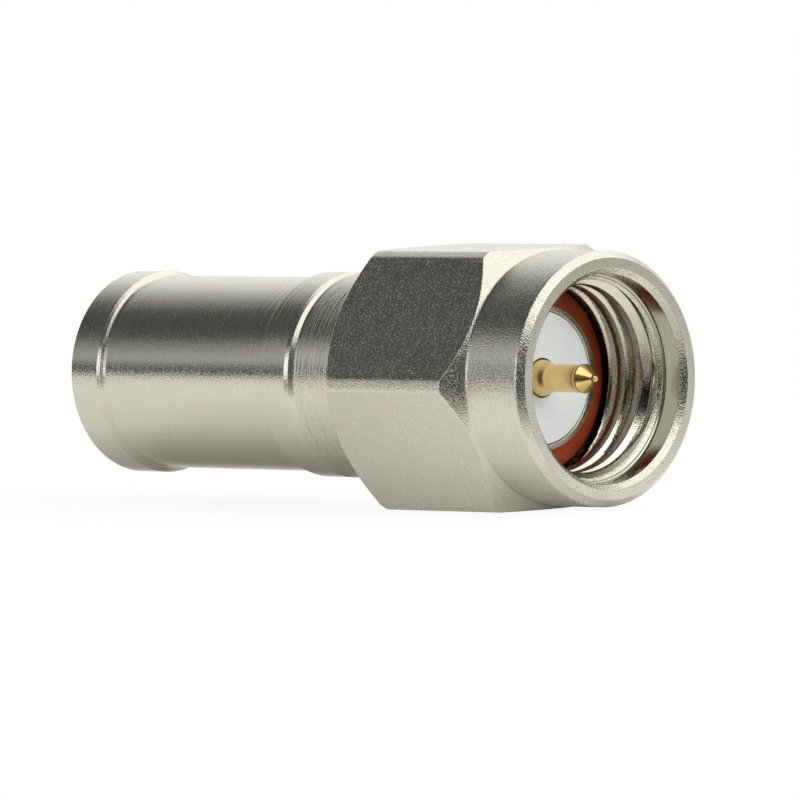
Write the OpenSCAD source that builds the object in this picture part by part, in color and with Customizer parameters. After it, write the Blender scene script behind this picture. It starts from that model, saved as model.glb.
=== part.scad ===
// In-line coaxial adapter: a threaded plug with a free coupling nut at one
// end and a push-on plug in a turned barrel at the other.
// The axis is X. The origin is the centre of the mating plane of the threaded
// end, +X points out of that end and +Z stands on a flat of the nut.
// All sizes are in millimetres.

/* [Coupling nut] */
// width across the flats of the hexagon
nut_flats = 8; // [7.9:0.05:8.1]
// turned diameter over the corners of the hexagon
nut_corner_d = 9.04; // [8.9:0.02:9.2]
// length of the nut from its mouth to its back face
nut_length = 8.35; // [8.2:0.05:8.6]
// distance from the mating plane to the mouth of the nut
nut_reach = 2.9; // [2.7:0.05:3]
// diameter of the round front of the nut
nut_front_d = 7.84; // [7.7:0.02:7.88]
// length of the round front of the nut
nut_front_length = 2.3; // [2.1:0.02:2.4]
// chamfer around the outside of the mouth
nut_edge = 0.21; // [0.1:0.01:0.22]
// smallest diameter of the coupling thread
thread_minor_d = 5.74; // [5.6:0.02:5.8]
// length of the coupling thread
thread_length = 2.1; // [1.9:0.02:2.12]
// diameter of the plain entry ahead of the thread
entry_d = 6.44; // [6.4:0.02:6.7]
// depth of the plain entry ahead of the thread
entry_depth = 0.82; // [0.7:0.01:0.95]
// chamfer around the inside of the mouth
entry_edge = 0.17; // [0.05:0.01:0.18]

/* [Threaded end] */
// outside diameter of the outer conductor at the mating plane
nose_d = 4.54; // [4.5:0.01:4.56]
// wall of the outer conductor at the mating plane
nose_wall = 0.2; // [0.17:0.01:0.22]
// length of the outer conductor ahead of its flange
nose_length = 1.2; // [1.15:0.01:1.4]
// outside diameter of the sealing gasket
gasket_d = 6; // [5.8:0.02:6]
// thickness of the sealing gasket
gasket_thickness = 0.85; // [0.6:0.01:0.9]
// diameter of the exposed centre pin
pin_d = 0.9; // [0.88:0.01:0.94]
// distance from the mating plane to the end of the centre pin
pin_reach = 2.3; // [2.1:0.02:2.4]
// diameter of the centre pin inside its insulator
pin_body_d = 1.27; // [1.25:0.01:1.3]

/* [Body] */
// diameter of the neck that carries the nut
neck_d = 6; // [5.98:0.01:6.02]
// diameter of the collar behind the nut
collar_d = 6.4; // [6.3:0.02:6.5]
// length of the collar behind the nut
collar_length = 2.05; // [1.9:0.01:2.3]
// axial gap between the nut and the collar
nut_gap = 0.25; // [0.2:0.01:0.3]
// diameter of the spigot pressed into the rear barrel
spigot_d = 5.24; // [5.1:0.02:5.3]
// length of the spigot pressed into the rear barrel
spigot_length = 1.8; // [1.7:0.02:2]

/* [Rear barrel] */
// length of the rear barrel
barrel_length = 10.2; // [10:0.05:11]
// diameter of the land beside the joint
land_d = 6.4; // [6.3:0.02:6.5]
// length of the land beside the joint
land_length = 1.55; // [1.4:0.01:1.8]
// diameter of the waist
waist_d = 6.06; // [5.98:0.02:6.1]
// diameter of the grip rim at the open end
rim_d = 6.36; // [6.3:0.02:6.5]
// width of the grip rim at the open end
rim_width = 1.3; // [1.2:0.05:1.6]
// bore of the open end
cavity_d = 5.3; // [5.26:0.02:5.34]

/* [Push-on end] */
// inside diameter of the slotted contact sleeve
sleeve_bore_d = 3.7; // [3.68:0.01:3.74]
// wall of the slotted contact sleeve
sleeve_wall = 0.35; // [0.32:0.01:0.37]
// number of slots in the contact sleeve
sleeve_slots = 4; // [2:2:6]
// how far the contact sleeve lies inside the open end
sleeve_recess = 0.8; // [0.6:0.05:1]
// outside diameter of the centre socket
socket_d = 1.1; // [1.08:0.01:1.16]
// bore of the centre socket
socket_bore_d = 0.52; // [0.5:0.01:0.54]

/* [Clearances] */
// radial clearance between the turning nut and the neck
turn_clearance = 0.06; // [0.04:0.01:0.08]
// radial clearance between pieces that are pushed together
push_clearance = 0.02; // [0.01:0.01:0.03]

/* [Hidden] */

eps = 0.05;
round_fn = 96;
small_fn = 48;

// stations along the axis
nut_front_x = nut_reach;
nut_back_x = nut_reach - nut_length;
hex_front_x = nut_reach - nut_front_length;
thread_front_x = nut_reach - entry_depth;
thread_back_x = thread_front_x - thread_length;
flange_x = -nose_length;
gasket_front_x = flange_x + gasket_thickness;
collar_front_x = nut_back_x - nut_gap;
joint_x = collar_front_x - collar_length;
spigot_back_x = joint_x - spigot_length;
barrel_back_x = joint_x - barrel_length;

// retaining ring and its two grooves
ring_width = 0.48;
ring_play = 0.06;
ring_x = flange_x - 2;
ring_inner_r = 2.72;
ring_outer_r = 3.34;
ring_gap = 1.2;
body_groove_r = ring_inner_r - push_clearance;
nut_groove_r = ring_outer_r + 0.08;

// nut
relief_r = max(3.3, gasket_d / 2 + 0.3);
relief_length = 1.3;
nut_bore_r = neck_d / 2 + turn_clearance;
hex_corner_r = nut_flats / sqrt(3);
hex_front_rise = nut_corner_d / 2 - nut_front_d / 2;
hex_back_r = nut_flats / 2 - 0.05;
hex_back_rise = nut_corner_d / 2 - hex_back_r;

// centre conductor and insulators
nose_bore_d = nose_d - 2 * nose_wall;
sleeve_d = sleeve_bore_d + 2 * sleeve_wall;
gold_step = 0.3;
face_recess = 0.02;
shoulder_r = pin_d / 2 + 0.11;
shoulder_length = 0.45;
cone_length = 0.36;
nub_r = 0.11;
nub_length = 0.13;
cone_start_x = pin_reach - nub_length - cone_length;
head_space = 0.5;
insulator_back_x = spigot_back_x + head_space;
head_r = 0.9;
head_play = 0.03;
tail_r = 0.36;
tail_length = 2;
sleeve_flange = 0.6;
seat_x = spigot_back_x - sleeve_flange;
seat_length = 1.4;
sleeve_mouth_x = barrel_back_x + sleeve_recess;
stop_x = spigot_back_x - 2.7;
pocket_r = sleeve_bore_d / 2 + 0.1;
pocket_x = spigot_back_x - 1.1;
tip_r = 1;
tip_x = sleeve_mouth_x + 1.3;
socket_mouth_x = tip_x + 0.2;
socket_depth = 2.6;
socket_slot = 0.12;
sleeve_slot = 0.4;
bead = 0.06;

// a tube or disc about the axis between two stations
module turned(x0, x1, r, fn = round_fn) {
    translate([x0, 0, 0])
        rotate([0, 90, 0])
            cylinder(h = x1 - x0, r = r, $fn = fn);
}

// a cone about the axis between two stations
module tapered(x0, x1, r0, r1, fn = round_fn) {
    translate([x0, 0, 0])
        rotate([0, 90, 0])
            cylinder(h = x1 - x0, r1 = r0, r2 = r1, $fn = fn);
}

// a profile of [station, radius] points turned about the axis
module lathe(points, fn = round_fn) {
    rotate([0, 90, 0])
        rotate_extrude($fn = fn)
            polygon([for (p = points) [p[1], p[0]]]);
}

// hexagon bar with its lowest and highest flats level
module hexagon_bar(x0, x1) {
    translate([x0, 0, 0])
        rotate([0, 90, 0])
            rotate([0, 0, 90])
                cylinder(h = x1 - x0, r = hex_corner_r, $fn = 6);
}

// turned envelope of the nut: both ends of the hexagon are cut by cones
module nut_envelope() {
    lathe([
        [nut_back_x, 0],
        [nut_back_x, hex_back_r],
        [nut_back_x + hex_back_rise, nut_corner_d / 2],
        [hex_front_x - hex_front_rise, nut_corner_d / 2],
        [hex_front_x, nut_front_d / 2],
        [nut_front_x - nut_edge, nut_front_d / 2],
        [nut_front_x, nut_front_d / 2 - nut_edge],
        [nut_front_x, 0]
    ]);
}

module nut_cavity() {
    turned(thread_front_x, nut_front_x + eps, entry_d / 2);
    tapered(nut_front_x - entry_edge, nut_front_x + eps, entry_d / 2, entry_d / 2 + entry_edge + eps);
    turned(thread_back_x - eps, thread_front_x + eps, thread_minor_d / 2);
    turned(thread_back_x - relief_length, thread_back_x, relief_r);
    turned(nut_back_x - eps, thread_back_x - relief_length + eps, nut_bore_r);
    turned(ring_x - ring_width / 2 - ring_play, ring_x + ring_width / 2 + ring_play, nut_groove_r);
    tapered(nut_back_x - eps, nut_back_x + 0.15, nut_bore_r + 0.15 + eps, nut_bore_r);
}

// coupling nut, free to turn on the neck
module coupling_nut() {
    color([0.72, 0.71, 0.67])
        difference() {
            intersection() {
                union() {
                    hexagon_bar(nut_back_x, hex_front_x);
                    turned(hex_front_x - eps, nut_front_x, nut_front_d / 2);
                }
                nut_envelope();
            }
            nut_cavity();
        }
}

// split retaining ring between the groove of the neck and that of the nut
module snap_ring() {
    color([0.72, 0.5, 0.3])
        difference() {
            turned(ring_x - ring_width / 2, ring_x + ring_width / 2, ring_outer_r);
            turned(ring_x - ring_width, ring_x + ring_width, ring_inner_r);
            translate([ring_x - ring_width, -ring_gap / 2, 0])
                cube([2 * ring_width, ring_gap, ring_outer_r + 1]);
        }
}

// flat silicone gasket against the flange
module gasket() {
    color([0.6, 0.17, 0.08])
        difference() {
            turned(flange_x, gasket_front_x, gasket_d / 2);
            turned(flange_x - eps, gasket_front_x + eps, nose_d / 2 + push_clearance);
        }
}

// outer conductor, neck, collar and spigot in one turned piece
module front_body() {
    color([0.74, 0.73, 0.68])
        difference() {
            lathe([
                [0, 0],
                [0, nose_d / 2 - 0.04],
                [-0.04, nose_d / 2],
                [flange_x, nose_d / 2],
                [flange_x, neck_d / 2 - 0.1],
                [flange_x - 0.1, neck_d / 2],
                [collar_front_x, neck_d / 2],
                [collar_front_x, collar_d / 2 - 0.1],
                [collar_front_x - 0.1, collar_d / 2],
                [joint_x, collar_d / 2],
                [joint_x, spigot_d / 2],
                [spigot_back_x + 0.15, spigot_d / 2],
                [spigot_back_x, spigot_d / 2 - 0.15],
                [spigot_back_x, 0]
            ]);
            turned(spigot_back_x - eps, eps, nose_bore_d / 2);
            difference() {
                turned(ring_x - ring_width / 2 - push_clearance, ring_x + ring_width / 2 + push_clearance,
                       neck_d / 2 + 1);
                turned(ring_x - ring_width, ring_x + ring_width, body_groove_r);
            }
        }
}

// insulator of the threaded end, stepped so that the pin cannot come forward
module front_insulator() {
    color([0.93, 0.94, 0.95])
        difference() {
            turned(insulator_back_x, -face_recess, nose_bore_d / 2 - push_clearance);
            turned(insulator_back_x - eps, -gold_step, pin_body_d / 2 + push_clearance);
            turned(-gold_step - eps, eps, pin_body_d / 2 - 0.02);
        }
}

// centre pin: tip, exposed pin, low shoulder, body and tail
module center_pin() {
    color([0.85, 0.68, 0.3])
        lathe([
            [pin_reach, 0],
            [pin_reach, nub_r * 0.6],
            [pin_reach - nub_length * 0.4, nub_r],
            [pin_reach - nub_length, nub_r],
            [cone_start_x, pin_d / 2],
            [shoulder_length, pin_d / 2],
            [0, shoulder_r],
            [-gold_step, shoulder_r + 0.045],
            [-gold_step - push_clearance, pin_body_d / 2],
            [insulator_back_x + 0.1, pin_body_d / 2],
            [insulator_back_x, pin_body_d / 2 - 0.1],
            [insulator_back_x, tail_r],
            [insulator_back_x - tail_length, tail_r],
            [insulator_back_x - tail_length, 0]
        ], small_fn);
}

// slotted centre socket on the tail of the pin
module socket_contact() {
    color([0.85, 0.68, 0.3])
        difference() {
            union() {
                turned(spigot_back_x + head_play, insulator_back_x - head_play, head_r, small_fn);
                turned(socket_mouth_x, insulator_back_x - head_play, socket_d / 2, small_fn);
            }
            turned(insulator_back_x - tail_length - 0.1, insulator_back_x, tail_r + push_clearance, small_fn);
            turned(socket_mouth_x - eps, socket_mouth_x + socket_depth, socket_bore_d / 2, small_fn);
            tapered(socket_mouth_x - eps, socket_mouth_x + 0.15, socket_bore_d / 2 + 0.15 + eps,
                    socket_bore_d / 2, small_fn);
            translate([socket_mouth_x - eps, -socket_slot / 2, -socket_d])
                cube([socket_depth - 0.6, socket_slot, 2 * socket_d]);
        }
}

// insulator of the push-on end
module rear_insulator() {
    color([0.93, 0.94, 0.95])
        difference() {
            lathe([
                [spigot_back_x, 0],
                [spigot_back_x, pocket_r - push_clearance],
                [pocket_x, pocket_r - push_clearance],
                [pocket_x, sleeve_bore_d / 2 - push_clearance],
                [stop_x, sleeve_bore_d / 2 - push_clearance],
                [stop_x, tip_r],
                [tip_x + 0.1, tip_r],
                [tip_x, tip_r - 0.1],
                [tip_x, 0]
            ]);
            turned(tip_x - eps, spigot_back_x + eps, socket_d / 2 + push_clearance, small_fn);
        }
}

// slotted outer contact with an inward bead at its mouth
module spring_sleeve() {
    color([0.8, 0.66, 0.36])
        difference() {
            lathe([
                [spigot_back_x, pocket_r],
                [spigot_back_x, spigot_d / 2 - 0.02],
                [seat_x, spigot_d / 2 - 0.02],
                [seat_x, sleeve_d / 2],
                [sleeve_mouth_x + 0.12, sleeve_d / 2],
                [sleeve_mouth_x, sleeve_d / 2 - 0.1],
                [sleeve_mouth_x, sleeve_bore_d / 2 + 0.06],
                [sleeve_mouth_x + 0.3, sleeve_bore_d / 2 - bead],
                [sleeve_mouth_x + 0.5, sleeve_bore_d / 2 - bead],
                [sleeve_mouth_x + 0.8, sleeve_bore_d / 2],
                [pocket_x, sleeve_bore_d / 2],
                [pocket_x, pocket_r]
            ]);
            for (slot = [0 : sleeve_slots - 1])
                rotate([slot * 360 / sleeve_slots + 45, 0, 0])
                    translate([sleeve_mouth_x - eps, -sleeve_slot / 2, 0])
                        cube([stop_x - sleeve_mouth_x - 0.4, sleeve_slot, sleeve_d]);
        }
}

// rear barrel: land, waist and grip rim around the push-on contacts
module rear_barrel() {
    color([0.74, 0.73, 0.68])
        difference() {
            lathe([
                [joint_x, 0],
                [joint_x, land_d / 2 - 0.32],
                [joint_x - 0.28, land_d / 2 - 0.06],
                [joint_x - 0.4, land_d / 2],
                [joint_x - land_length + 0.03, land_d / 2],
                [joint_x - land_length, land_d / 2 - 0.03],
                [joint_x - land_length, waist_d / 2],
                [barrel_back_x + rim_width + 0.26, waist_d / 2],
                [barrel_back_x + rim_width + 0.18, waist_d / 2 + 0.03],
                [barrel_back_x + rim_width + 0.1, rim_d / 2 - 0.06],
                [barrel_back_x + rim_width, rim_d / 2],
                [barrel_back_x + 0.15, rim_d / 2],
                [barrel_back_x, rim_d / 2 - 0.15],
                [barrel_back_x, 0]
            ]);
            turned(seat_x, joint_x + eps, spigot_d / 2);
            turned(seat_x - seat_length - eps, seat_x + eps, sleeve_d / 2 + push_clearance);
            turned(barrel_back_x - eps, seat_x - seat_length, cavity_d / 2);
            tapered(barrel_back_x - eps, barrel_back_x + 0.15, cavity_d / 2 + 0.15 + eps, cavity_d / 2);
        }
}

coupling_nut();
snap_ring();
gasket();
front_body();
front_insulator();
center_pin();
socket_contact();
rear_insulator();
spring_sleeve();
rear_barrel();
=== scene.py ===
import bpy
import math
import numpy as np
from mathutils import Matrix, Vector


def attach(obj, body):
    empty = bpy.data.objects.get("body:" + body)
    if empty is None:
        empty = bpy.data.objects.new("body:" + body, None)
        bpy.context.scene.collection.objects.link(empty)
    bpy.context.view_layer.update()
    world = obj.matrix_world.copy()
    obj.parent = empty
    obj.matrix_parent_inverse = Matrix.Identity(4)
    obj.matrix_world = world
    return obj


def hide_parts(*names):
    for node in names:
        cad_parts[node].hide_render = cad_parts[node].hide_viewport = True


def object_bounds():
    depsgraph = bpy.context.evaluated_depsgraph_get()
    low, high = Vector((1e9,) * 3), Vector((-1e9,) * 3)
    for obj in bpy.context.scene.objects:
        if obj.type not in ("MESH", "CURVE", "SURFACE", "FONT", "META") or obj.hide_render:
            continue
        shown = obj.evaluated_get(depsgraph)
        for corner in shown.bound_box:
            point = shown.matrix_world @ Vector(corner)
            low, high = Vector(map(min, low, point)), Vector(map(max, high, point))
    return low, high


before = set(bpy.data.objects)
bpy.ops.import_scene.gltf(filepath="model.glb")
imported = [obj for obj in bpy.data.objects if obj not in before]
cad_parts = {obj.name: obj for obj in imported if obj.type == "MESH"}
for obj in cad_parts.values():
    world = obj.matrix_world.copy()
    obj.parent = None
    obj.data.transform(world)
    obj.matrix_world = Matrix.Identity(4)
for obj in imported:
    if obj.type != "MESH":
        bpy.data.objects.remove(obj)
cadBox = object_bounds()
print("frame loaded with", len(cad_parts), "nodes")

mm = 0.001
tau = 2 * math.pi
scene = bpy.context.scene

# stations along the axis that several pieces share, in mm from the mating plane
at = dict(front=2.90, nutBack=-5.45, flange=-1.20, collar=-5.70, joint=-7.75, spigot=-9.55, end=-17.95)

# camera: long lens, a little above the axis and turned half way to the mouth
cameraFacts = dict(azimuth=45.553, elevation=3.158, roll=-2.087, distance=368.1,
                   aim=(-3.066, -3.167, -0.516), lens=540)


def makeCamera(facts):
    az, el, roll = (math.radians(facts[k]) for k in ("azimuth", "elevation", "roll"))
    back = Vector((math.sin(az) * math.cos(el), -math.cos(az) * math.cos(el), math.sin(el)))
    level = Vector((math.cos(az), math.sin(az), 0))
    right = level * math.cos(roll) + back.cross(level) * math.sin(roll)
    up = back.cross(right)
    data = bpy.data.cameras.new("camera")
    data.lens = facts["lens"]
    data.sensor_width = 36
    data.clip_start, data.clip_end = 0.01, 20
    camera = bpy.data.objects.new("camera", data)
    scene.collection.objects.link(camera)
    camera.matrix_world = Matrix((right, up, back)).transposed().to_4x4()
    camera.location = Vector(facts["aim"]) * mm + back * facts["distance"] * mm
    scene.camera = camera


makeCamera(cameraFacts)


class Wire:
    # one socket of a node tree; arithmetic on it adds Math nodes
    def __init__(self, tree, socket=None):
        self.tree, self.socket = tree, socket

    def node(self, kind, settings=None, values=None, out=0):
        made = self.tree.nodes.new(kind)
        for key, value in (settings or {}).items():
            setattr(made, key, value)
        for key, value in (values or {}).items():
            if isinstance(value, Wire):
                self.tree.links.new(value.socket, made.inputs[key])
            else:
                made.inputs[key].default_value = value
        return Wire(self.tree, made.outputs[out])

    def math(self, operation, a, b=None):
        values = {i: v for i, v in enumerate((a, b)) if v is not None}
        return self.node("ShaderNodeMath", dict(operation=operation), values)

    def __add__(self, other):
        return self.math("ADD", self, other)

    def __radd__(self, other):
        return self.math("ADD", other, self)

    def __sub__(self, other):
        return self.math("SUBTRACT", self, other)

    def __rsub__(self, other):
        return self.math("SUBTRACT", other, self)

    def __mul__(self, other):
        return self.math("MULTIPLY", self, other)

    def __rmul__(self, other):
        return self.math("MULTIPLY", other, self)

    def __truediv__(self, other):
        return self.math("DIVIDE", self, other)

    def most(self, other):
        return self.math("MAXIMUM", self, other)

    def ease(self, low, high):
        # 0 below low, 1 above high, smooth between
        settings = dict(interpolation_type="SMOOTHSTEP")
        return self.node("ShaderNodeMapRange", settings, {0: self, 1: low, 2: high, 3: 0.0, 4: 1.0})

    def ramp(self, low, high):
        # 0 below low, 1 above high, straight between
        return self.node("ShaderNodeMapRange", None, {0: self, 1: low, 2: high, 3: 0.0, 4: 1.0})

    def parts(self):
        return [self.node("ShaderNodeSeparateXYZ", None, {0: self}, out=i) for i in range(3)]

    def scaled(self, x, y, z):
        return self.node("ShaderNodeVectorMath", dict(operation="MULTIPLY"), {0: self, 1: (x, y, z)})

    def noise(self, detail=2.0, rough=0.5):
        values = {"Vector": self, "Scale": 1.0, "Detail": detail, "Roughness": rough}
        return self.node("ShaderNodeTexNoise", None, values)

    def blend(self, low, high):
        # colour between low and high, by this value
        values = {0: self, 6: (*low, 1), 7: (*high, 1)}
        return self.node("ShaderNodeMix", dict(data_type="RGBA"), values, out=2)


# light: a pale tent round the object. Directions are turned by 45 degrees: side is to the camera's right and
# near is toward the camera. The tent has a dark opening round the camera and a dim wall on the left.
# Pairs are the two ends of a fade
worldFacts = dict(dim=0.08, backdrop=0.97, far=(0.47, 0.88),
                  key=1.35, keyUp=(0.22, 0.55), keySide=(-0.30, 0.06),
                  front=2.1, frontUp=(0.26, 0.48), frontX=(0.50, 0.78),
                  strip=1.35, stripFrom=(-1.0, -0.93), stripTo=(-0.44, -0.30), stripNear=(0.15, 0.4),
                  stripUp=(0.30, 0.50),
                  left=0.78, leftSide=(0.55, 0.85), leftTop=(0.0, 0.56), leftLow=(0.07, 0.24), leftLeast=0.06,
                  right=0.42, rightSide=(0.55, 0.85),
                  opening=0.008, openMiddle=0.10, openFade=(0.1, 0.4), openRim=(0.8, 1.15),
                  openNear=(0.0, 0.3), openSide=0.43, openShift=0.17, openUp=0.40, openLift=0.13)
lampWhite = (1.0, 0.99, 0.965, 1)
diagonal = 0.7071


def turnedParts(direction):
    x, y, up = direction.parts()
    return x, diagonal * x + diagonal * y, diagonal * x - diagonal * y, up


def openingMask(side, near, up, f):
    # on the near side, 1 inside the ellipse
    # ((side - openShift) / openSide)^2 + ((up - openLift) / openUp)^2 = 1
    across = (side - f["openShift"]) / f["openSide"]
    along = (up - f["openLift"]) / f["openUp"]
    return (1 - (across * across + along * along).ease(*f["openRim"])) * near.ease(*f["openNear"])


def makeWorld(f):
    world = bpy.data.worlds.new("studio")
    scene.world = world
    world.use_nodes = True
    world.node_tree.nodes.clear()
    start = Wire(world.node_tree)
    x, side, near, up = turnedParts(start.node("ShaderNodeTexCoord", out="Generated"))
    light = f["dim"] + (f["backdrop"] - f["dim"]) * (0 - near).ramp(*f["far"])
    key = f["key"] * up.ramp(*f["keyUp"]) * side.ease(*f["keySide"])
    front = f["front"] * up.ramp(*f["frontUp"]) * x.ease(*f["frontX"])
    strip = f["strip"] * side.ease(*f["stripFrom"]) * (1 - side.ease(*f["stripTo"]))
    strip = strip * near.ease(*f["stripNear"]) * (1 - up.ease(*f["stripUp"]))
    low = f["leftLeast"] + (1 - f["leftLeast"]) * up.ease(*f["leftLow"])
    left = f["left"] * (0 - side).ease(*f["leftSide"]) * (1 - up.ramp(*f["leftTop"])) * low
    light = light.most(key).most(front).most(strip).most(left)
    light = light.most(f["right"] * side.ease(*f["rightSide"]))
    opening = openingMask(side, near, up, f)
    middle = f["opening"] + f["openMiddle"] * (1 - side.ease(*f["openFade"]))
    light = light * (1 - opening) + middle * opening
    seen = start.node("ShaderNodeLightPath", out="Is Camera Ray")
    dim = start.node("ShaderNodeBackground", None, {0: lampWhite, 1: light})
    white = start.node("ShaderNodeBackground", None, {0: (1, 1, 1, 1), 1: 1.0})
    both = start.node("ShaderNodeMixShader", None, {0: seen, 1: dim, 2: white})
    output = world.node_tree.nodes.new("ShaderNodeOutputWorld")
    world.node_tree.links.new(both.socket, output.inputs[0])


makeWorld(worldFacts)

# soft lamp in front of the mouth; the metal doesn't mirror it, so it lifts only the white and the red
mouthLampFacts = dict(place=(80, 18, 14), size=34, power=0.028)


def makeMouthLamp(f):
    data = bpy.data.lights.new("mouthLamp", "AREA")
    data.size = f["size"] * mm
    data.energy = f["power"]
    data.color = (0.97, 0.99, 1.0)
    lamp = bpy.data.objects.new("mouthLamp", data)
    scene.collection.objects.link(lamp)
    lamp.location = Vector(f["place"]) * mm
    lamp.rotation_euler = lamp.location.to_track_quat("Z", "Y").to_euler()
    lamp.visible_glossy = False
    lamp.visible_camera = False


makeMouthLamp(mouthLampFacts)

# pale card on the left, close by, that only the metal sees: it brightens the upper left of the nut and the
# collar, and fades out toward the rear barrel
cardFacts = dict(side=-60, near=(-30, 40), up=(3, 46), light=0.64, edge=(-8, 1), low=(3, 15), high=(19, 41))


def makeCard(f):
    (n0, n1), (z0, z1) = f["near"], f["up"]
    points = [(diagonal * (f["side"] + n) * mm, diagonal * (f["side"] - n) * mm, z * mm)
              for n, z in ((n0, z0), (n1, z0), (n1, z1), (n0, z1))]
    mesh = bpy.data.meshes.new("card")
    mesh.from_pydata(points, [], [(0, 1, 2, 3)])
    card = bpy.data.objects.new("card", mesh)
    scene.collection.objects.link(card)
    for kind in ("camera", "diffuse", "transmission", "volume_scatter", "shadow"):
        setattr(card, "visible_" + kind, False)
    material = bpy.data.materials.new("paleCard")
    material.use_nodes = True
    tree = material.node_tree
    tree.nodes.clear()
    start = Wire(tree)
    place = start.node("ShaderNodeTexCoord", out="Object").scaled(1000, 1000, 1000)
    near, up = turnedParts(place)[2:]
    mask = (near + 0.5 * (up - 20)).ease(*f["edge"]) * up.ease(*f["low"]) * (1 - up.ease(*f["high"]))
    lit = start.node("ShaderNodeEmission", None, {0: lampWhite, 1: f["light"]})
    clear = start.node("ShaderNodeBsdfTransparent")
    both = start.node("ShaderNodeMixShader", None, {0: mask, 1: clear, 2: lit})
    output = tree.nodes.new("ShaderNodeOutputMaterial")
    tree.links.new(both.socket, output.inputs[0])
    mesh.materials.append(material)


makeCard(cardFacts)

# floor: pale, at the level of the lowest flat of the nut. The metal sees it as glowing paper with painted
# light and shade: a painted shadow under the body, a brighter painted pool by the nut, darker toward the
# camera and to the right, and black where it meets the dark opening on the camera's side
floorFacts = dict(half=1.5, colour=(0.80, 0.785, 0.735), keep=0.14, glow=0.38, share=0.75, nutGlow=0.09,
                  paper=(7.5, 14.0), paperDim=0.36, under=0.15, rightDim=0.35)


def makeFloor(f):
    low = cadBox[0].z - 0.00001
    s = f["half"]
    mesh = bpy.data.meshes.new("floor")
    mesh.from_pydata([(-s, -s, low), (s, -s, low), (s, s, low), (-s, s, low)], [], [(0, 1, 2, 3)])
    floor = bpy.data.objects.new("floor", mesh)
    scene.collection.objects.link(floor)
    material = bpy.data.materials.new("paleFloor")
    material.use_nodes = True
    tree = material.node_tree
    tree.nodes.clear()
    start = Wire(tree)
    place = start.node("ShaderNodeTexCoord", out="Object").scaled(1000, 1000, 1000)
    x, side, near = turnedParts(place)[:3]
    away = start.node("ShaderNodeVectorMath", dict(operation="NORMALIZE"), {0: place})
    opening = openingMask(*turnedParts(away)[1:], worldFacts)
    # painted shade: the paper darkens toward the camera and to the right, and goes black inside the opening
    paintedShade = (1 - (1 - f["paperDim"]) * near.ramp(*f["paper"])) * (1 - opening)
    paintedShade = paintedShade * (1 - f["rightDim"] * side.ramp(10, 50))
    # painted shadow: within 4 mm of the axis's line the glow falls to the share under; nutGlow is a painted
    # brighter pool by the nut
    beside = start.math("ABSOLUTE", place.parts()[1]).ramp(0.0, 4.0)
    glow = (f["glow"] + f["nutGlow"] * x.ease(-9.0, -3.0)) * paintedShade * (f["under"] + (1 - f["under"]) * beside)
    paint = start.node("ShaderNodeBsdfDiffuse", None, {0: (*f["colour"], 1)})
    black = start.node("ShaderNodeBsdfDiffuse", None, {0: (0.01, 0.01, 0.01, 1)})
    lit = start.node("ShaderNodeEmission", None, {0: (1.0, 0.985, 0.93, 1), 1: glow})
    dimmed = start.node("ShaderNodeMixShader", None, {0: paintedShade * f["share"], 1: black, 2: paint})
    paper = start.node("ShaderNodeAddShader", None, {0: dimmed, 1: lit})
    glossy = start.node("ShaderNodeLightPath", out="Is Glossy Ray")
    surface = start.node("ShaderNodeMixShader", None, {0: glossy, 1: paint, 2: paper})
    white = start.node("ShaderNodeEmission", None, {0: (1, 1, 1, 1), 1: 1.06})
    seen = start.node("ShaderNodeLightPath", out="Is Camera Ray")
    under = start.node("ShaderNodeNewGeometry", out="Backfacing")
    clear = start.node("ShaderNodeBsdfTransparent")
    pale = start.node("ShaderNodeMixShader", None, {0: seen * (1 - f["keep"]), 1: surface, 2: white})
    both = start.node("ShaderNodeMixShader", None, {0: seen * under, 1: pale, 2: clear})
    output = tree.nodes.new("ShaderNodeOutputMaterial")
    tree.links.new(both.socket, output.inputs[0])
    mesh.materials.append(material)


makeFloor(floorFacts)
print("camera, light and floor made")


# finishes
def startMaterial(name):
    material = bpy.data.materials.new(name)
    material.use_nodes = True
    tree = material.node_tree
    tree.nodes.clear()
    start = Wire(tree)
    place = start.node("ShaderNodeTexCoord", out="Object").scaled(1000, 1000, 1000)
    return material, start, place


def endMaterial(material, start, colour, roughness, height=None, metallic=1.0, **more):
    # height is in mm
    values = {"Base Color": colour if isinstance(colour, Wire) else (*colour, 1),
              "Roughness": roughness, "Metallic": metallic}
    if height is not None:
        bump = {"Strength": 1.0, "Distance": mm, "Height": height}
        values["Normal"] = start.node("ShaderNodeBump", None, bump)
    values.update(more)
    shader = start.node("ShaderNodeBsdfPrincipled", None, values)
    output = start.tree.nodes.new("ShaderNodeOutputMaterial")
    start.tree.links.new(shader.socket, output.inputs[0])
    return material


def nickel(name, f):
    # plated metal: streaks around the axis, fine grit with duller specks and a cloudy tint; with edgeFrom,
    # also small chips beyond that radius
    material, start, p = startMaterial(name)
    streak = p.scaled(f["lines"], f["run"], f["run"]).noise(3.0, 0.6)
    grit = p.scaled(f["gritSize"], f["gritSize"], f["gritSize"]).noise(1.0, 0.5)
    cloud = p.scaled(f["cloud"], f["cloud"], f["cloud"]).noise(3.0, 0.6)
    tint = cloud.ease(*f["tintFade"]).blend(f["colour"], f["warm"])
    rough = f["rough"] + f["roughMore"] * streak + 0.5 * f["roughMore"] * cloud
    rough = rough + f["speck"] * grit.ease(*f["speckFade"]) + 0.4 * f["speck"] * streak.ease(*f["lineFade"])
    height = f["streak"] * streak + f["grit"] * grit
    if "edgeFrom" in f:
        y, z = p.parts()[1:]
        radius = start.math("SQRT", y * y + z * z)
        chip = p.scaled(*f["chipSize"]).noise(1.0, 0.5)
        height = height + f["chip"] * chip * radius.ease(f["edgeFrom"] - f["edgeFade"], f["edgeFrom"])
    return endMaterial(material, start, tint, rough, height)


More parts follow.
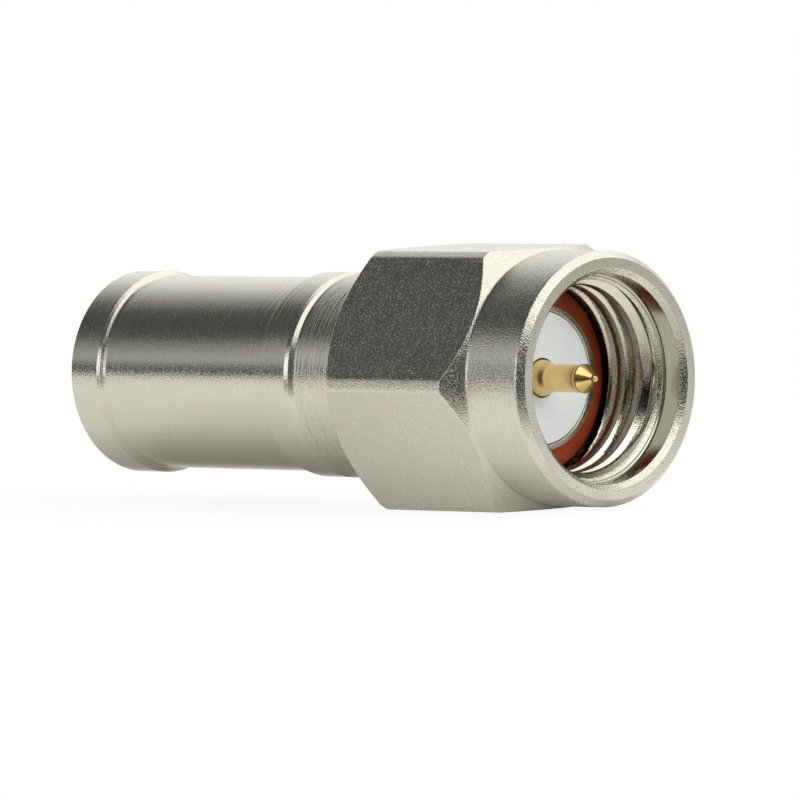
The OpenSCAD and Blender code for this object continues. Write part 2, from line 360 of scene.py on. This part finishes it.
plate = dict(colour=(0.70, 0.70, 0.62), warm=(0.72, 0.69, 0.61), lines=22.0, run=0.8,
             gritSize=20.0, rough=0.09, roughMore=0.08, streak=0.0034, grit=0.0038, speck=0.13,
             cloud=1.1, tintFade=(0.42, 0.66), speckFade=(0.54, 0.68), lineFade=(0.52, 0.66))
turnedNickel = nickel("turnedNickel", plate)
smoothNickel = nickel("smoothNickel", dict(
    plate, lines=12.0, streak=0.0008, grit=0.0004, rough=0.08, speck=0.06,
    colour=(0.52, 0.51, 0.43), warm=(0.52, 0.48, 0.39)))
milledNickel = nickel("milledNickel", dict(
    plate, lines=24.0, run=1.2, streak=0.0055, grit=0.0062, rough=0.10, speck=0.33,
    edgeFrom=4.505, edgeFade=0.07, chip=0.009, chipSize=(19.0, 22.0, 22.0)))
noseNickel = nickel("noseNickel", dict(
    plate, lines=18.0, run=2.5, streak=0.0075, grit=0.0090, gritSize=21.0, speck=0.18))
grainNickel = nickel("grainNickel", dict(
    plate, lines=12.0, run=5.0, gritSize=23.0, streak=0.003, grit=0.0110, speck=0.38))
threadNickel = nickel("threadNickel", dict(
    plate, lines=7.0, run=0.8, streak=0.0040, grit=0.0042, speck=0.04, rough=0.04,
    colour=(0.67, 0.655, 0.56), warm=(0.66, 0.62, 0.52)))
# thread crests: the same plate with a much darker colour, painted shade for the dark lines along the crests
shadedCrestNickel = nickel("shadedCrestNickel", dict(
    plate, lines=7.0, run=1.5, gritSize=15.0, streak=0.006, grit=0.008, rough=0.20, speck=0.20,
    colour=(0.31, 0.29, 0.24), warm=(0.30, 0.26, 0.21)))
ringNickel = nickel("ringNickel", dict(
    plate, lines=11.0, run=0.5, streak=0.0300, grit=0.0050, speck=0.24))


def gold(name, f):
    material, start, p = startMaterial(name)
    ring = p.scaled(f["lines"], 0.6, 0.6).noise(2.0, 0.5)
    cloud = p.scaled(2.0, 2.0, 2.0).noise(2.0, 0.5)
    tint = cloud.ease(0.35, 0.7).blend(f["colour"], f["deep"])
    return endMaterial(material, start, tint, f["rough"] + 0.12 * ring, f["height"] * ring)


goldFacts = dict(colour=(0.90, 0.68, 0.30), deep=(0.84, 0.58, 0.22), lines=14.0, rough=0.12, height=0.0012)
brightGold = gold("brightGold", goldFacts)


def dielectric(name, f):
    # waxy white, with faint turning rings about the axis
    material, start, p = startMaterial(name)
    y, z = p.parts()[1:]
    radius = start.math("SQRT", y * y + z * z)
    around = start.node("ShaderNodeCombineXYZ", None, {0: radius * 9.0, 1: y * 0.4, 2: z * 0.4})
    ring = around.noise(2.0, 0.5)
    cloud = p.scaled(0.9, 0.9, 0.9).noise(2.0, 0.5)
    tint = cloud.ease(0.3, 0.7).blend(f["colour"], f["cool"])
    return endMaterial(material, start, tint, f["rough"] + 0.1 * ring, 0.0012 * ring, 0.0)


whiteDielectric = dielectric("whiteDielectric", dict(
    colour=(0.88, 0.89, 0.90), cool=(0.84, 0.86, 0.89), rough=0.38))


def silicone(name, f):
    material, start, p = startMaterial(name)
    cloud = p.scaled(1.5, 1.5, 1.5).noise(3.0, 0.6)
    grain = p.scaled(14.0, 14.0, 14.0).noise(2.0, 0.5)
    tint = cloud.ease(0.3, 0.7).blend(f["deep"], f["colour"])
    return endMaterial(material, start, tint, f["rough"] + 0.12 * grain, 0.002 * grain, 0.0)


redSilicone = silicone("redSilicone", dict(colour=(0.42, 0.075, 0.02), deep=(0.32, 0.045, 0.015), rough=0.40))


def bronze(name, f):
    material, start, p = startMaterial(name)
    ring = p.scaled(12.0, 1.0, 1.0).noise(2.0, 0.5)
    return endMaterial(material, start, ring.blend(f["colour"], f["deep"]), 0.25 + 0.15 * ring, 0.001 * ring)


bareBronze = bronze("bareBronze", dict(colour=(0.62, 0.42, 0.24), deep=(0.45, 0.28, 0.15)))
print("finishes made")


# surfaces
def gridPiece(name, points, body, replaced, materials, bands=None):
    # a grid of points [row, column, xyz] in mm as one closed skin: points that coincide are joined,
    # so seams and poles close, and quads that shrink to a line are dropped
    rows, columns = points.shape[:2]
    flat = points.reshape(-1, 3)
    key = np.round(flat / 2e-6).astype(np.int64)
    first, joined = np.unique(key, axis=0, return_index=True, return_inverse=True)[1:]
    joined = joined.reshape(rows, columns)
    quad = np.stack([joined[:-1, :-1], joined[1:, :-1], joined[1:, 1:], joined[:-1, 1:]], -1).reshape(-1, 4)
    band = np.zeros(rows - 1, int) if bands is None else np.asarray(bands)
    band = np.repeat(band, columns - 1)
    same = quad == np.roll(quad, -1, axis=1)
    crossed = (quad[:, 0] == quad[:, 2]) | (quad[:, 1] == quad[:, 3])
    whole = (same.sum(1) == 0) & ~crossed
    three = (same.sum(1) == 1) & ~crossed
    turn = (np.argmax(same[three], 1)[:, None] + np.arange(1, 4)) % 4
    faces = quad[whole].tolist() + np.take_along_axis(quad[three], turn, 1).tolist()
    band = np.concatenate([band[whole], band[three]])
    return makePiece(name, flat[first], faces, body, replaced, materials, band)


def makePiece(name, points, faces, body, replaced, materials, band=None):
    mesh = bpy.data.meshes.new(name)
    mesh.from_pydata((points * mm).tolist(), [], faces)
    for material in materials:
        mesh.materials.append(material)
    if band is not None:
        mesh.polygons.foreach_set("material_index", band.astype(np.int32))
    mesh.polygons.foreach_set("use_smooth", np.ones(len(mesh.polygons), bool))
    mesh.update()
    piece = bpy.data.objects.new(name, mesh)
    scene.collection.objects.link(piece)
    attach(piece, body)
    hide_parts(*replaced)
    print("made", name, len(mesh.polygons), "faces")
    return piece


def roundedPath(corners, closed, step=0.45):
    # corners (x, r, fillet) joined by straight lines, each fillet an arc of six points; a fourth number is
    # a finer step for the line that starts there. A row stands close to each end of a line, so that
    # shading stays flat between
    corners = [np.array(c, float) for c in corners]
    count = len(corners)
    arcs = []
    for i, corner in enumerate(corners):
        here, fillet = corner[:2], corner[2]
        if fillet == 0 or (not closed and i in (0, count - 1)):
            arcs.append([here])
            continue
        a = corners[i - 1][:2] - here
        b = corners[(i + 1) % count][:2] - here
        a, b = a / np.linalg.norm(a), b / np.linalg.norm(b)
        half = math.acos(max(-1, min(1, a @ b))) / 2
        reach = fillet / math.tan(half)
        middle = here + (a + b) / np.linalg.norm(a + b) * fillet / math.sin(half)
        arc = [here + a * reach - middle, here + b * reach - middle]
        spread = math.pi - 2 * half
        steps = np.linspace(0, 1, 6)
        weights = [(math.sin((1 - t) * spread), math.sin(t * spread)) for t in steps]
        arcs.append([middle + (p * arc[0] + q * arc[1]) / math.sin(spread) for p, q in weights])
    path = []
    for i in range(count):
        path += arcs[i]
        if i == count - 1 and not closed:
            break
        a, b = arcs[i][-1], arcs[(i + 1) % count][0]
        length = np.linalg.norm(b - a)
        if length < 0.03:
            continue
        close = min(0.015, length / 4)
        pace = corners[i][3] if len(corners[i]) > 3 else step
        inner = np.linspace(close, length - close, max(2, int(math.ceil(length / pace)) + 1))
        path += [a + (b - a) * t / length for t in inner]
    if closed:
        path.append(path[0])
    return np.array(path)


def turning(path, columns, ripple=None):
    # the path turned about X: y = r cos t, z = r sin t, with r + ripple(x, r)
    t = np.linspace(0, tau, columns + 1)
    t[-1] = 0
    x, r = path[:, 0:1], path[:, 1:2]
    if ripple is not None:
        r = r + ripple(x, r)
    return np.stack([x + 0 * t, r * np.cos(t), r * np.sin(t)], -1)


def turnedPiece(name, corners, body, replaced, material, columns=240, closed=True, step=0.45,
                ripple=None, ringed=None):
    # ringed is (material, low x, high x, least r) of a stretch with its own finish
    path = roundedPath(corners, closed, step)
    x, r = path[:, 0], path[:, 1]
    area = np.sum(x * np.roll(r, -1) - np.roll(x, -1) * r)
    if area < 0:
        path = path[::-1]
    if ringed is None:
        return gridPiece(name, turning(path, columns, ripple), body, replaced, [material])
    x, r = (path[1:] + path[:-1]).T / 2
    ringMaterial, low, high, least = ringed
    band = ((x > low) & (x < high) & (r > least)).astype(int)
    points = turning(path, columns, ripple)
    return gridPiece(name, points, body, replaced, [material, ringMaterial], band)


def marks(x, seed, waves, depth):
    # sum of sines of unlike pitch along the axis, as left by a turning tool
    rng = np.random.default_rng(seed)
    total = 0 * x
    for pitch in waves:
        total = total + np.sin(tau * x / pitch + rng.uniform(0, tau)) * rng.uniform(0.5, 1.0)
    return depth * total / len(waves)


# body: nose ring, neck, collar behind the nut and spigot, in one turned piece
bodyFacts = dict(nose=2.27, bore=2.07, neck=3.0, groove=2.70,
                 grooveX=(at["flange"] - 1.74, at["flange"] - 2.26),
                 collar=3.20, spigot=2.62, depth=0.009, markMargin=0.11, markFrom=3.1)


def makeBody(f):
    a, b = f["grooveX"]
    corners = [(0, f["bore"], 0.03), (0, f["nose"], 0.035), (at["flange"], f["nose"], 0.02),
               (at["flange"], f["neck"], 0.08), (a, f["neck"], 0.02), (a, f["groove"], 0.02),
               (b, f["groove"], 0.02), (b, f["neck"], 0.02), (at["collar"], f["neck"], 0.02),
               (at["collar"], f["collar"], 0.08, 0.018),
               (at["joint"], f["collar"], 0.025), (at["joint"], f["spigot"], 0.02),
               (at["spigot"], f["spigot"], 0.12), (at["spigot"], f["bore"], 0.02)]
    middle = (at["collar"] + at["joint"]) / 2
    reach = (at["collar"] - at["joint"]) / 2 - f["markMargin"]

    def ripple(x, r):
        onCollar = (np.abs(x - middle) < reach) & (r > f["markFrom"])
        return onCollar * (marks(x, 3, (0.31, 0.17, 0.105, 0.083), f["depth"]) - f["depth"])

    return turnedPiece("bodyTurned", corners, "adapter", ["front_body"], turnedNickel,
                       ripple=ripple, columns=220,
                       ringed=(ringNickel, middle - reach, middle + reach, f["markFrom"]))


makeBody(bodyFacts)

# rear barrel: land by the joint, waist, grip rim, and the bore for the push-on contacts
barrelFacts = dict(land=3.20, landWidth=1.55, waist=3.03, rim=3.18, rimWidth=1.30, seat=0.60,
                   seatLength=1.40, bore=2.62, seatBore=2.22, cavity=2.65, depth=0.003, markReach=2.2)


def makeBarrel(f):
    j, e = at["joint"], at["end"]
    m, landEnd, seat = e + f["rimWidth"], j - f["landWidth"], at["spigot"] - f["seat"]
    corners = [(j, f["bore"], 0.02), (j, f["land"] - 0.32, 0.01), (j - 0.28, f["land"] - 0.06, 0.04),
               (j - 0.4, f["land"], 0.05, 0.03), (landEnd + 0.06, f["land"], 0.02),
               (landEnd, f["land"] - 0.05, 0.01), (landEnd, f["waist"], 0.04, 0.03),
               (landEnd - f["markReach"], f["waist"], 0), (m + 0.26, f["waist"], 0.04),
               (m + 0.18, f["waist"] + 0.03, 0.02), (m + 0.1, f["rim"] - 0.06, 0.03),
               (m, f["rim"], 0.03, 0.03), (e + 0.15, f["rim"], 0.06), (e, f["rim"] - 0.15, 0.05),
               (e, f["cavity"] + 0.15, 0.03), (e + 0.15, f["cavity"], 0.03),
               (seat - f["seatLength"], f["cavity"], 0.02), (seat - f["seatLength"], f["seatBore"], 0.02),
               (seat, f["seatBore"], 0.02), (seat, f["bore"], 0.02)]

    def ripple(x, r):
        beside = np.exp(-((x - landEnd) / 0.9) ** 2)
        onRim = 0.25 * (np.abs(x - m + 0.63) < 0.45)
        cut = marks(x, 8, (0.27, 0.16, 0.098), f["depth"]) - f["depth"]
        return (r > 2.9) * (x < j - 0.45) * (beside + onRim) * cut

    return turnedPiece("barrelTurned", corners, "adapter", ["rear_barrel"], turnedNickel,
                       ripple=ripple, columns=220)


makeBarrel(barrelFacts)


# coupling nut: hexagon whose corners and both ends are turned, and a right-hand thread inside
nutFacts = dict(flat=4.0, corner=4.52, nose=3.92, noseLength=2.30, edge=0.21, backEdge=3.95,
                entry=3.22, entryEdge=0.17, entryDepth=0.82, lip=3.03, lipX=1.94, minor=2.87, major=3.15,
                lipFall=1.25, lipRise=2.6, pitch=0.70556, threadEnd=-0.02, crestX=1.25, crestShare=0.51,
                flankShare=0.23, crown=0.02, leadTurn=1.02, leadLength=0.18,
                relief=3.30, reliefLength=1.30, bore=3.06, ring=3.42,
                ringX=(at["flange"] - 1.70, at["flange"] - 2.30), soft=0.011, fade=0.022)

# the order of the finishes on the nut, the crest one with painted shade in its colour, and a name for the
# place of each
nutFinishes = [turnedNickel, milledNickel, threadNickel, grainNickel, smoothNickel, shadedCrestNickel, noseNickel]
turned, milled, flank, grain, smooth, crest, nose = range(len(nutFinishes))


def softMin(a, b, k):
    # the lower of two surfaces, rounded over about 3 k where they cross: min - k ln(1 + exp(-|a - b| / k))
    return np.minimum(a, b) - k * np.log1p(np.exp(-np.abs(a - b) / k))


def makeNut(f):
    k, front, back = f["soft"], at["front"], at["nutBack"]
    rootX = front - f["noseLength"]
    # one sixth of a turn, with the angles close together where flat and corner meet
    half = np.radians([0, 2.5, 5, 7.5, 10, 12.5, 15, 17.5, 20, 22, 24, 25.4, 26.4, 27.0, 27.35, 27.6, 27.75,
                       27.9, 28.15, 28.5, 29.2, 30])
    sector = np.concatenate([-half[:0:-1], half[:-1]])
    t = (np.arange(6)[:, None] * math.pi / 3 + math.pi / 6 + sector).ravel()
    t = np.append(t, t[0] + tau)
    phase = np.mod(t, math.pi / 3) - math.pi / 6
    # flat / cos(phase), cut by the turned corner
    hexR = softMin(f["flat"] / np.cos(phase), f["corner"] + 0 * t, k)

    # outside, between the two cones: rows follow the curved edges x(t) where hexagon and cone meet
    near = np.array([-0.09, -0.055, -0.035, -0.02, -0.008, 0, 0.008, 0.02, 0.035, 0.055, 0.09])
    backX = back + hexR - f["backEdge"]
    frontX = rootX - (hexR - f["nose"])
    ends, middleRows, coneRows, close = 4, 12, 6, len(near)
    reach, gap, lead = near[-1], 0.13, 0.03
    spread = np.linspace(0, 1, middleRows)[:, None]
    outerX = np.concatenate([
        back + lead + (backX - back - lead - reach) * np.linspace(0, 1, ends)[:, None],
        backX + near[:, None],
        backX + gap + (frontX - backX - 2 * gap) * spread,
        frontX + near[:, None],
        frontX + reach + (rootX - frontX - 2 * reach) * np.linspace(0, 1, coneRows)[1:-1, None],
        rootX + near[:, None] + 0 * t])
    outerX = np.maximum.accumulate(np.maximum(outerX, back + 0.025), 0)
    coneBack = f["backEdge"] + outerX - back
    # the front cone runs into the round front over about 3 fade: nose + fade ln(1 + exp((rootX - x) / fade))
    coneFront = f["nose"] + f["fade"] * np.log1p(np.exp((rootX - outerX) / f["fade"]))
    outerR = softMin(softMin(hexR + 0 * outerX, coneBack, k), coneFront, k)
    # the flats lie between the middles of the two curved edges, the front cone from there to the round front
    centre = close // 2
    flatTo = ends + close + middleRows + centre
    outerBand = np.full(len(outerX) - 1, turned)
    outerBand[ends + centre:flatTo] = milled
    outerBand[flatTo + 1:flatTo + 1 + centre + coneRows - 2] = grain
    outerBand[-close:] = nose

    # round front and mouth, down to the lip ahead of the thread
    e, g, stepX = f["edge"], f["entryEdge"], front - f["entryDepth"]
    mouth = roundedPath([(rootX + 0.10, f["nose"], 0), (front - e, f["nose"], 0.12),
                         (front, f["nose"] - e, 0.03), (front, f["entry"] + g, 0.02),
                         (front - g, f["entry"], 0.02), (stepX + 0.01, f["entry"], 0.02),
                         (stepX, f["entry"] - 0.012, 0)], False)
    mouthBand = np.full(len(mouth), nose)
    mouthBand[mouth[:, 0] > front - e - 0.04] = grain
    mouthBand[mouth[:, 1] < f["entry"] + 0.01] = smooth
    mouthBand[np.abs(mouth[:, 0] - front) < 1e-4] = turned

    # thread: the radius falls from root to crest along x - pitch t / tau, which is a right-hand helix.
    # v runs from 0 to crestShare on the crest, then come flank, root and flank.
    # The last turn fades out at the lip
    b = f["threadEnd"]
    u = np.array([0, 0.06, 0.12, 0.17, 0.2, 0.225, 0.245, 0.265, 0.285, 0.31, 0.34, 0.38, 0.42, 0.455,
                  0.475, 0.49, 0.5, 0.51, 0.525, 0.545, 0.58, 0.62, 0.66, 0.69, 0.715, 0.735, 0.755,
                  0.775, 0.8, 0.83, 0.88, 0.94])
    a = f["lipX"] - 0.05
    turns = np.arange(-1, math.ceil((a - b) / f["pitch"]) + 1)
    start = f["crestX"] + f["pitch"] * math.ceil((a - f["crestX"]) / f["pitch"])
    nominal = start - f["pitch"] * (turns[:, None] + u).ravel()[:, None] + f["pitch"] * t / tau
    lipRows = np.linspace(stepX, a, 22)[:, None] + 0 * t
    threadX = np.concatenate([lipRows, np.clip(nominal, b, a)])
    along = (threadX - f["crestX"]) / f["pitch"] - t / tau
    halfCrest = f["crestShare"] / 2
    v = np.mod(halfCrest - along, 1)
    turn = np.floor(along + 0.5) + t / tau
    height = np.clip((f["leadTurn"] - turn) / f["leadLength"], 0, 1)
    rise = np.minimum(np.clip((v - f["crestShare"]) / f["flankShare"], 0, 1),
                      np.clip((1 - v) / f["flankShare"], 0, 1))
    crown = f["crown"] * np.minimum(np.abs(v - halfCrest) / halfCrest, 1) ** 2
    depth = f["major"] - f["minor"]
    ridge = f["major"] - height * np.maximum(depth * (1 - rise) - crown, 0)
    cone = f["entry"] - (stepX - threadX)
    lip = np.maximum(f["entry"] - 0.012 - f["lipFall"] * (stepX - threadX),
                     f["lip"] + f["lipRise"] * (f["lipX"] - threadX))
    threadR = softMin(-softMin(-ridge, -cone, 0.01), lip, 0.006)
    threadR = np.minimum(threadR, f["major"])
    # crest rows take the crest plate, whose dark colour is painted shade
    crestRow = np.abs(np.mod(u + 0.5, 1) - 0.5) < 0.25
    threadBand = np.where(np.tile(crestRow, len(turns)), crest, flank)

    # relief, ring groove and bore on the way back
    m, n = f["ringX"]
    reliefX = b - f["reliefLength"]
    tail = roundedPath([(b, f["major"] + 0.02, 0), (b, f["relief"], 0.03), (reliefX, f["relief"], 0.05),
                        (reliefX, f["bore"], 0.03), (m, f["bore"], 0.02), (m, f["ring"], 0.02),
                        (n, f["ring"], 0.02), (n, f["bore"], 0.02), (back + 0.15, f["bore"], 0.03),
                        (back, f["bore"] + 0.15, 0.03),
                        (back, f["backEdge"], 0.03), (back + 0.025, f["backEdge"] + 0.025, 0)], False)

    x = np.concatenate([outerX, mouth[:, :1] + 0 * t, threadX, tail[:, :1] + 0 * t])
    r = np.concatenate([outerR, mouth[:, 1:] + 0 * t, threadR, tail[:, 1:] + 0 * t])
    bands = np.concatenate([outerBand, [nose], mouthBand, np.full(len(lipRows), grain), threadBand,
                            np.full(len(tail), turned)])
    x, r = np.concatenate([x, x[:1]]), np.concatenate([r, r[:1]])
    t[-1] = t[0]
    points = np.stack([x, r * np.cos(t), r * np.sin(t)], -1)[::-1]
    bands = bands[:len(points) - 1][::-1]
    return gridPiece("couplingNut", points, "nut", ["coupling_nut"], nutFinishes, bands)


makeNut(nutFacts)

# gasket, dielectric and pin in the mouth
gasketFacts = dict(thickness=0.85, outer=3.0, inner=2.29, fillet=0.09)


def makeGasket(f):
    back, front = at["flange"], at["flange"] + f["thickness"]
    corners = [(front, f["inner"], f["fillet"]), (front, f["outer"], f["fillet"]),
               (back, f["outer"], f["fillet"]), (back, f["inner"], f["fillet"])]
    return turnedPiece("gasketRing", corners, "adapter", ["gasket"], redSilicone,
                       columns=160, step=0.2)


makeGasket(gasketFacts)

insulatorFacts = dict(face=-0.02, head=0.5, outer=2.05, bore=0.655, throat=0.615, throatX=-0.30)


def makeInsulator(f):
    back = at["spigot"] + f["head"]
    corners = [(f["face"], f["throat"], 0.02), (f["face"], f["outer"], 0.03), (back, f["outer"], 0.03),
               (back, f["bore"], 0.02), (f["throatX"], f["bore"], 0.01), (f["throatX"], f["throat"], 0.01)]
    return turnedPiece("dielectricFront", corners, "adapter", ["front_insulator"], whiteDielectric,
                       columns=160, step=0.3)


makeInsulator(insulatorFacts)

pinFacts = dict(end=2.3, nub=0.11, nubLength=0.13, coneLength=0.36, radius=0.45, shaft=0.432, shoulder=0.42,
                base=0.57, body=0.635, head=0.5, tail=0.36, tailLength=2.0, depth=0.0008)


def makePin(f):
    cone = f["end"] - f["nubLength"] - f["coneLength"]
    back = at["spigot"] + f["head"]
    corners = [(f["end"], 0, 0), (f["end"], 0.07, 0.04), (f["end"] - 0.05, f["nub"], 0.04),
               (f["end"] - f["nubLength"], f["nub"], 0.02), (cone, f["radius"], 0.02),
               (cone - 0.07, f["radius"], 0.02), (cone - 0.10, f["shaft"], 0.03, 0.02),
               (f["shoulder"], f["shaft"], 0.12, 0.03), (0, f["base"], 0.02),
               (-0.30, f["base"] + 0.035, 0.01), (-0.32, f["body"], 0.01),
               (back, f["body"], 0.05), (back, f["tail"], 0.02),
               (back - f["tailLength"], f["tail"], 0.05), (back - f["tailLength"], 0, 0)]

    def ripple(x, r):
        cut = marks(x, 5, (0.11, 0.07, 0.19), f["depth"]) - f["depth"]
        return (r > 0.3) * (x > 0.05) * (x < cone - 0.12) * cut

    return turnedPiece("pinTurned", corners, "adapter", ["center_pin"], brightGold,
                       columns=96, closed=False, ripple=ripple)


makePin(pinFacts)

# push-on end: dielectric, slotted sleeve and slotted socket
rearFacts = dict(pocket=1.93, pocketDepth=1.10, outer=1.83, stopDepth=2.70, tip=1.0, tipFromEnd=2.10,
                 bore=0.57)


def makeRearInsulator(f):
    front, tipX = at["spigot"], at["end"] + f["tipFromEnd"]
    pocketX, stopX = front - f["pocketDepth"], front - f["stopDepth"]
    corners = [(front, f["bore"], 0.01), (front, f["pocket"], 0.02), (pocketX, f["pocket"], 0.01),
               (pocketX, f["outer"], 0.01), (stopX, f["outer"], 0.03), (stopX, f["tip"], 0.03),
               (tipX + 0.1, f["tip"], 0.03), (tipX, f["tip"] - 0.1, 0.03), (tipX, f["bore"], 0.02)]
    return turnedPiece("dielectricRear", corners, "adapter", ["rear_insulator"], whiteDielectric,
                       columns=120, step=0.3)


makeRearInsulator(rearFacts)


def slottedTube(name, outer, inner, slots, width, slotX, replaced, columns, turn):
    # two skins r = outer(x) and r = inner(x) on one grid, the cells of the slots left out,
    # and a wall from skin to skin along every open edge
    outer, inner = np.array(outer), np.array(inner)
    between = np.linspace(outer[0, 0], outer[-1, 0], 24)
    x = np.unique(np.concatenate([outer[:, 0], inner[:, 0], [slotX], between]))
    per = columns // slots
    base = turn + np.arange(slots)[:, None] * tau / slots
    inside = np.linspace(0, 1, per)
    skins = []
    for profile in (outer, inner):
        r = np.interp(x, profile[:, 0], profile[:, 1])[:, None, None]
        edge = np.arcsin(width / 2 / r)
        angle = base[None, :, :] + edge + (tau / slots - 2 * edge) * inside[None, None, :]
        angle = angle.reshape(len(x), -1)
        r = r[:, :, 0]
        skins.append(np.stack([x[:, None] + 0 * angle, r * np.cos(angle), r * np.sin(angle)], -1))
    rows, cols = skins[0].shape[:2]
    index = np.arange(rows * cols).reshape(rows, cols)
    index = np.concatenate([index, index[:, :1]], 1)
    kept = np.ones((rows - 1, cols), bool)
    gap = np.arange(cols) % per == per - 1
    kept[np.ix_(x[:-1] < slotX - 1e-9, gap)] = False
    corner = np.stack([index[:-1, :-1], index[:-1, 1:], index[1:, 1:], index[1:, :-1]], -1)
    shift = rows * cols
    faces = [corner[kept][:, ::-1], corner[kept] + shift]
    none = np.zeros((1, cols), bool)
    below, above = np.vstack([none, kept[:-1]]), np.vstack([kept[1:], none])
    before, after = np.roll(kept, 1, 1), np.roll(kept, -1, 1)
    for a, b, beside in ((0, 1, below), (1, 2, after), (2, 3, above), (3, 0, before)):
        c = corner[kept & ~beside]
        faces.append(np.stack([c[:, a], c[:, b], c[:, b] + shift, c[:, a] + shift], -1))
    points = np.concatenate([skin.reshape(-1, 3) for skin in skins])
    faces = np.concatenate(faces).tolist()
    piece = makePiece(name, points, faces, "adapter", replaced, [brightGold])
    bevel = piece.modifiers.new("edges", "BEVEL")
    bevel.width = 0.025 * mm
    bevel.segments = 2
    bevel.limit_method = "ANGLE"
    bevel.angle_limit = math.radians(35)
    bevel.harden_normals = True


sleeveFacts = dict(bore=1.85, outer=2.2, recess=0.8, seat=0.6, pocket=1.95, flange=2.6, bead=0.06, slot=0.4)


def makeSleeve(f):
    m, s = at["end"] + f["recess"], at["spigot"]
    seat, pocketX = s - f["seat"], s - rearFacts["pocketDepth"]
    outer = [(m, f["outer"] - 0.1), (m + 0.12, f["outer"]), (seat - 0.01, f["outer"]), (seat, f["flange"]),
             (s, f["flange"])]
    inner = [(m, f["bore"] + 0.06), (m + 0.3, f["bore"] - f["bead"]), (m + 0.5, f["bore"] - f["bead"]),
             (m + 0.8, f["bore"]), (pocketX, f["bore"]), (pocketX + 0.01, f["pocket"]), (s, f["pocket"])]
    slotX = s - rearFacts["stopDepth"] - 0.4
    slottedTube("sleeveSlotted", outer, inner, 4, f["slot"], slotX, ["spring_sleeve"], 96, math.pi / 4)


makeSleeve(sleeveFacts)

socketFacts = dict(outer=0.55, bore=0.26, mouth=0.2, depth=2.6, slot=0.12, slotLength=2.0, head=0.9,
                   tail=0.38)


def makeSocket(f):
    m = at["end"] + rearFacts["tipFromEnd"] + f["mouth"]
    s = at["spigot"] + 0.47
    outer = [(m, f["outer"]), (s - 0.45, f["outer"]), (s - 0.44, f["head"]), (s, f["head"])]
    inner = [(m, f["bore"] + 0.15), (m + 0.15, f["bore"]), (m + f["depth"], f["bore"]),
             (m + f["depth"] + 0.01, f["tail"]), (s, f["tail"])]
    slotX = m + f["slotLength"]
    slottedTube("socketSlotted", outer, inner, 2, f["slot"], slotX, ["socket_contact"], 48, math.pi / 2)


makeSocket(socketFacts)

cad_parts["snap_ring"].data.materials.clear()
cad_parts["snap_ring"].data.materials.append(bareBronze)

scene.view_settings.view_transform = "Standard"
print("finished")
